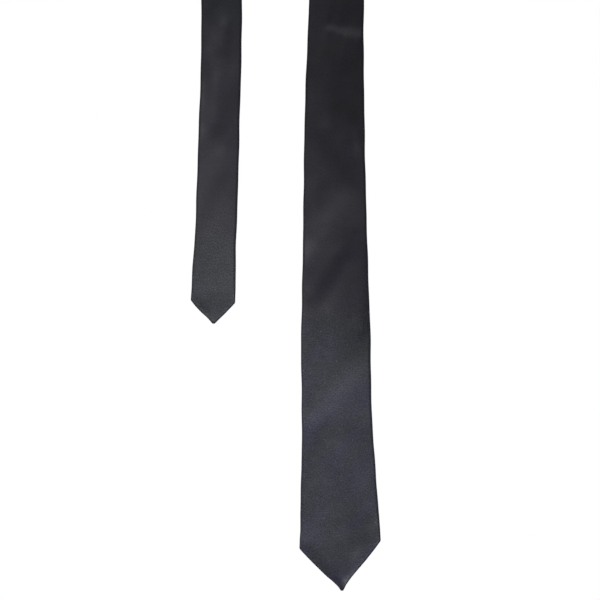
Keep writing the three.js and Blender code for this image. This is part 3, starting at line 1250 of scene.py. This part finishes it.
@dataclass(frozen=True)
class StitchRow:
    """Hand stitches along a line on the tie, laid by Geometry Nodes.

    The slant to the line is in degrees, and how far it wanders is in radians. The thread is a radius.
    """

    name: str
    spacing: float
    length: float
    slant: float
    rise: float
    thread: float = 0.14
    wander: float = 0.12
    seed: int = 7
    sides: int = 5
    bends: int = 5

    def tree(self) -> bpy.types.GeometryNodeTree:
        """Builds the tree that lays a short arc of thread at even steps along each line.

        Returns:
            The tree, with named inputs for its sizes, its seed and its finish.
        """
        tree = bpy.data.node_groups.new(self.name + "_rows", "GeometryNodeTree")
        kinds = {"Geometry": "Geometry", "Spacing": "Float", "Length": "Float", "Thread": "Float"}
        kinds |= {"Rise": "Float", "Slant": "Float", "Wander": "Float", "Seed": "Int", "Finish": "Material"}
        for label, kind in kinds.items():
            tree.interface.new_socket(label, in_out="INPUT", socket_type="NodeSocket" + kind)
        tree.interface.new_socket("Geometry", in_out="OUTPUT", socket_type="NodeSocketGeometry")
        add = partial(add_node, tree)
        given = add("NodeGroupInput").outputs
        line = add("GeometryNodeMeshToCurve", {"Mesh": given["Geometry"]})
        steps = add("GeometryNodeResampleCurve", {"Curve": line, "Length": given["Spacing"]}, mode="LENGTH")
        tangent = add("GeometryNodeInputTangent")
        outward = add("GeometryNodeInputNamedAttribute", {"Name": OUTWARD}, data_type="FLOAT_VECTOR")
        axes = {"Primary Axis": outward.outputs["Attribute"], "Secondary Axis": tangent}
        upright = add("FunctionNodeAxesToRotation", axes, primary_axis="Z", secondary_axis="X")
        less = add("ShaderNodeMath", {0: given["Wander"], 1: -1.0}, operation="MULTIPLY")
        limits = {2: less, 3: given["Wander"], "Seed": given["Seed"]}
        stray = add("FunctionNodeRandomValue", limits, data_type="FLOAT").outputs[1]
        angle = add("ShaderNodeMath", {0: given["Slant"], 1: stray}, operation="ADD")
        swing = add("FunctionNodeAxisAngleToRotation", {"Axis": (0.0, 0.0, 1.0), "Angle": angle})
        both = {"Rotation": upright, "Rotate By": swing}
        turned = add("FunctionNodeRotateRotation", both, rotation_space="LOCAL")
        half = add("ShaderNodeMath", {0: given["Length"], 1: 0.5}, operation="MULTIPLY")
        minus = add("ShaderNodeMath", {0: half, 1: -1.0}, operation="MULTIPLY")
        dive = add("ShaderNodeMath", {0: given["Thread"], 1: -1.0}, operation="MULTIPLY")
        bend = {
            "Resolution": self.bends,
            "Start": add("ShaderNodeCombineXYZ", {"X": minus, "Z": dive}),
            "Middle": add("ShaderNodeCombineXYZ", {"Z": given["Rise"]}),
            "End": add("ShaderNodeCombineXYZ", {"X": half, "Z": dive}),
        }
        arc = add("GeometryNodeCurveQuadraticBezier", bend)
        ring = add("GeometryNodeCurvePrimitiveCircle", {"Resolution": self.sides, "Radius": given["Thread"]})
        stitch = add("GeometryNodeCurveToMesh", {"Curve": arc, "Profile Curve": ring, "Fill Caps": True})
        laid = add("GeometryNodeInstanceOnPoints", {"Points": steps, "Instance": stitch, "Rotation": turned})
        real = add("GeometryNodeRealizeInstances", {"Geometry": laid})
        dyed = add("GeometryNodeSetMaterial", {"Geometry": real, "Material": given["Finish"]})
        add("NodeGroupOutput", {"Geometry": dyed})
        return tree

    def build(self, lines: list[Line], thread: Material) -> bpy.types.Object:
        """Sews stitches along lines and keeps them as one plain mesh.

        Args:
            lines: For each line its points in millimetres and the directions out of the cloth there.
            thread: The thread's finish.

        Returns:
            The stitches, with their places in their mesh.
        """
        mesh = bpy.data.meshes.new(self.name + "_lines")
        points = np.concatenate([line for line, _ in lines]) * MM
        edges = []
        first = 0
        for line, _ in lines:
            edges += [(first + k, first + k + 1) for k in range(len(line) - 1)]
            first += len(line)
        mesh.from_pydata(points.tolist(), edges, [])
        keep_vectors(mesh, OUTWARD, np.concatenate([out for _, out in lines]))
        guide = new_object(self.name + "_guide", mesh)
        sewing = guide.modifiers.new("sewing", "NODES")
        sewing.node_group = self.tree()
        given = {
            "Spacing": self.spacing * MM,
            "Length": self.length * MM,
            "Thread": self.thread * MM,
            "Rise": self.rise * MM,
            "Slant": math.radians(self.slant),
            "Wander": self.wander,
            "Seed": self.seed,
            "Finish": thread,
        }
        for item in sewing.node_group.interface.items_tree:
            if item.in_out == "INPUT" and item.name in given:
                sewing[item.identifier] = given[item.name]
        bpy.context.view_layer.update()
        depsgraph = bpy.context.evaluated_depsgraph_get()
        sewn = bpy.data.meshes.new_from_object(guide.evaluated_get(depsgraph), depsgraph=depsgraph)
        sewn.name = self.name
        sewn.shade_smooth()
        bpy.data.objects.remove(guide)
        return new_object(self.name, sewn)


@dataclass(frozen=True)
class Studio:
    """A pale floor that fades into white, soft lamps, and the photograph's long-lens camera."""

    photo_middle_px: float = 299.5
    photo_width_px: float = 600.0
    photo_scale: float = 0.6266  # millimetres a pixel
    body_line_px: float = 278.7
    blade_point_px: float = 589.7
    camera_distance: float = 2.4
    sensor: float = 36.0
    sight: float = 50.0
    soft_light: float = 0.12
    floor_drop: float = 0.2
    floor_radius: float = 1.6
    floor_plain: float = 0.35
    floor_white: float = 0.98  # the share of the radius from which it is white
    floor_sides: int = 96
    floor_colour: str = "#e6e6e4"
    floor_roughness: float = 0.7
    key_place: tuple[float, float, float] = (-0.5, -2.3, 1.2)
    key_size: float = 0.06

    def camera(self, point_z: float, leg_y: float) -> None:
        """Sets the camera level, square to the tie, with the photograph's framing.

        Args:
            point_z: The height of the blade's point, in metres.
            leg_y: How far in front of the origin the legs hang, in metres.
        """
        x = (self.photo_middle_px - self.body_line_px) * self.photo_scale * MM
        z = point_z + (self.blade_point_px - self.photo_middle_px) * self.photo_scale * MM
        data = bpy.data.cameras.new("camera")
        data.sensor_width = self.sensor
        data.lens = self.sensor * self.camera_distance / (self.photo_width_px * self.photo_scale * MM)
        data.clip_end = self.sight
        camera = new_object("camera", data)
        camera.location = (x, leg_y - self.camera_distance, z)
        camera.rotation_euler = (math.radians(90), 0.0, 0.0)
        bpy.context.scene.camera = camera

    @staticmethod
    def lamp(name: str, kind: str, place: tuple, aim: tuple, **settings: float) -> bpy.types.Object:
        """Hangs one lamp in its place and points it.

        Args:
            name: The lamp's name.
            kind: A soft square lamp, "AREA", or one with a round pool, "SPOT".
            place: Where it hangs, in metres.
            aim: The point that it looks at.
            **settings: Its own sizes, and its power in watts as energy.

        Returns:
            The lamp.
        """
        data = bpy.data.lights.new(name, kind)
        for setting, value in settings.items():
            setattr(data, setting, value)
        lamp = new_object(name, data)
        lamp.location = place
        lamp.rotation_euler = (Vector(aim) - Vector(place)).to_track_quat("-Z", "Y").to_euler()
        return lamp

    def world(self) -> None:
        """White behind the object, and a dimmer even light from all round."""
        world = bpy.data.worlds.new("studio")
        world.use_nodes = True
        bpy.context.scene.world = world
        world.node_tree.nodes.clear()
        add = partial(add_node, world.node_tree)
        seen = add("ShaderNodeLightPath").outputs["Is Camera Ray"]
        soft = add("ShaderNodeBackground", {"Color": WHITE, "Strength": self.soft_light})
        white = add("ShaderNodeBackground", {"Color": WHITE, "Strength": 1.0})
        either = add("ShaderNodeMixShader", {0: seen, 1: soft, 2: white})
        add("ShaderNodeOutputWorld", {"Surface": either})

    def floor_paint(self) -> Material:
        """Matt pale paint that turns plain white towards the floor's rim.

        Returns:
            The material.
        """
        material, tree = new_material("painted_floor")
        add = partial(add_node, tree)
        place = add("ShaderNodeTexCoord").outputs["Object"]
        level = add("ShaderNodeVectorMath", {0: place, 1: (1.0, 1.0, 0.0)}, operation="MULTIPLY")
        distance = add("ShaderNodeVectorMath", {0: level}, operation="LENGTH").outputs["Value"]
        far = self.floor_radius * self.floor_white
        span = {"Value": distance, "From Min": self.floor_plain, "From Max": far}
        fade = add("ShaderNodeMapRange", span, interpolation_type="SMOOTHSTEP")
        matt = {"Base Color": linear_rgba(self.floor_colour), "Roughness": self.floor_roughness}
        paint = add("ShaderNodeBsdfPrincipled", matt)
        glow = add("ShaderNodeEmission", {"Color": WHITE, "Strength": 1.0})
        mixed = add("ShaderNodeMixShader", {0: fade, 1: paint, 2: glow})
        add("ShaderNodeOutputMaterial", {"Surface": mixed})
        return material

    def floor(self, point_z: float) -> bpy.types.Object:
        """Lays the floor's disc below the tie, where it takes no part in the tie's own light.

        Args:
            point_z: The height of the blade's point, in metres.

        Returns:
            The floor.
        """
        around = np.arange(self.floor_sides) * math.tau / self.floor_sides
        z = point_z - self.floor_drop
        rim = [(self.floor_radius * math.cos(a), self.floor_radius * math.sin(a), z) for a in around]
        mesh = bpy.data.meshes.new("floor")
        mesh.from_pydata(rim, [], [list(range(len(rim)))])
        mesh.materials.append(self.floor_paint())
        floor = new_object("floor", mesh)
        floor.visible_diffuse = False
        floor.visible_glossy = False
        return floor

    def build(self) -> None:
        """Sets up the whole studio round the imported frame."""
        point_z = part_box("blade")[0].z
        leg_y = (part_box("tail")[0].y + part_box("tail")[1].y) / 2
        bpy.context.scene.view_settings.view_transform = "Standard"
        self.camera(point_z, leg_y)
        self.world()
        self.floor(point_z)
        soft = {"spot_blend": 1.0, "shadow_soft_size": self.key_size}
        narrow = soft | {"spot_size": math.radians(6), "energy": 300.0}
        wide = soft | {"spot_size": math.radians(24), "energy": 358.0}
        self.lamp("key_blade", "SPOT", place=self.key_place, aim=(-0.029, leg_y, -0.651), **narrow)
        self.lamp("key_wide", "SPOT", place=self.key_place, aim=(-0.382, leg_y, -0.721), **wide)
        self.lamp("top", "AREA", place=(0.0, 0.1, 1.3), aim=(0.0, 0.1, 0.0), size=1.4, energy=22.0)
        back = self.lamp("back", "AREA", place=(0.0, 2.2, 0.1), aim=(0.0, 0.0, -0.35), size=1.4, energy=40.0)
        back.visible_glossy = False


@dataclass
class SkinnyTie:
    """The whole tie: three panels folded from one cloth, and the hand stitches that close them."""

    cloth: FoldedCloth
    satin: BiasSatin = BiasSatin()
    wrong_side: BiasSatin = BiasSatin(
        name="satin_wrong_side", green_grey="#222428", red_grey="#262427", blue_grey="#25252c", roughness=0.7
    )
    thread: SewingThread = SewingThread()
    stitch_lean: float = math.radians(28)
    seam_step: float = 2.0
    clear_of_tack: float = 8.0
    clear_of_joint: float = 16.0
    clear_in_band: float = 5.0
    tack_above: float = 2.5
    tack_places: int = 25
    hem_step: float = 0.5
    hem_start: float = 0.8

    def panels(self) -> list[Panel]:
        """The three panels, from the blade's point to the tail's.

        Returns:
            The panels, with the places where they start and stop.
        """
        first, second = self.cloth.seams
        length = self.cloth.route.length
        gap = Panel.seam_gap
        return [
            Panel("blade_cloth", 0.0, first - gap, self.cloth),
            Panel("neckband_cloth", first + gap, second - gap, self.cloth),
            Panel("tail_cloth", second + gap, length, self.cloth, point_until=30.0, front_until=212.0),
        ]

    def seam_line(self, start: float, stop: float) -> Line:
        """The over flap's sewn edge on the back.

        Args:
            start: Where the line starts along the tie.
            stop: Where it stops.

        Returns:
            The line's points, and the directions in which its stitches stand out of the step.
        """
        cloth = self.cloth
        along = np.arange(start, stop, self.seam_step)
        v = np.full_like(along, -cloth.over_lap)
        n = np.full_like(along, -cloth.fold_radius - cloth.half_cloth + cloth.under_sink / 2)
        points, front, across = cloth.place(along, v, n)
        return points, -front * math.cos(self.stitch_lean) - across * math.sin(self.stitch_lean)

    def on_tie(self, end: HangingEnd, from_point: Array) -> Array:
        """Turns distances from an end's point into places along the tie."""
        return from_point if end is BLADE else self.cloth.route.length - from_point

    def tack_line(self, end: HangingEnd) -> Line:
        """The bar tack's line across the back, where the opening at a point starts."""
        v = np.linspace(-end.tack_reach, end.tack_reach, self.tack_places)
        return self.cloth.back_line(self.on_tie(end, np.full_like(v, end.tack + self.tack_above)), v)

    def hem_line(self, end: HangingEnd, flap: Flap) -> Line:
        """The inner edge of the hem along one side of a point.

        Args:
            end: Which end's point.
            flap: Which side of it.

        Returns:
            The line's points and the directions out of the cloth there.
        """
        cloth = self.cloth
        stop = end.corner[flap.which] - self.hem_step
        along = self.on_tie(end, np.arange(end.hem * self.hem_start, stop, self.hem_step))
        v = cloth.flap_edge(along, flap)
        n = cloth.flap_height(v, along, flap) - cloth.half_thickness(along) / 2
        points, front, _ = cloth.place(along, flap.value * v, n)
        return points, -front

    def sewing(self, node: str) -> list[tuple[StitchRow, list[Line]]]:
        """The rows of stitches on one panel, each with its lines.

        Args:
            node: The panel's CAD node.

        Returns:
            Pairs of a stitch row and its lines.
        """
        first, second = self.cloth.seams
        length = self.cloth.route.length
        seam = {
            "blade": (BLADE.tack + self.clear_of_tack, first - self.clear_of_joint),
            "neckband": (first + self.clear_in_band, second - self.clear_in_band),
            "tail": (second + self.clear_of_joint, length - TAIL.tack - self.clear_of_tack),
        }[node]
        slip = StitchRow(node + "_slip_stitches", spacing=8.5, length=2.0, slant=52.0, rise=1.0)
        rows = [(slip, [self.seam_line(*seam)])]
        if node == "neckband":
            return rows
        end = BLADE if node == "blade" else TAIL
        tack = StitchRow(
            node + "_bar_tack", spacing=0.36, length=1.9, slant=84.0, rise=0.55, thread=0.17, seed=3
        )
        hem = StitchRow(node + "_hem_stitches", spacing=3.6, length=1.7, slant=62.0, rise=0.75, seed=11)
        return rows + [(tack, [self.tack_line(end)]), (hem, [self.hem_line(end, flap) for flap in Flap])]

    def build(self) -> None:
        """Builds and dresses every piece, attaches it to the root body and hides the CAD part it stands for.
        """
        face = self.satin.material()
        wrong_side = self.wrong_side.material()
        thread = self.thread.material()
        for panel in self.panels():
            piece = panel.build()
            panel.dress(piece, face, wrong_side)
            node = panel.name.removesuffix("_cloth")
            sewn = [row.build(lines, thread) for row, lines in self.sewing(node)]
            for part in (piece, *sewn):
                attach(part, "root")
                log.info("%s: %d faces", part.name, len(part.data.polygons))
            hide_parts(node)
            width, run, area = panel.flat_size()
            log.info("%s is cut %.4f by %.4f m, %.5f square metres", piece.name, width, run, area)


def main() -> None:
    """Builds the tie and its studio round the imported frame."""
    logging.basicConfig(level=logging.INFO, format="%(name)s %(message)s")
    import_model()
    SkinnyTie(FoldedCloth(TieRoute())).build()
    Studio().build()


if __name__ == "__main__":
    main()
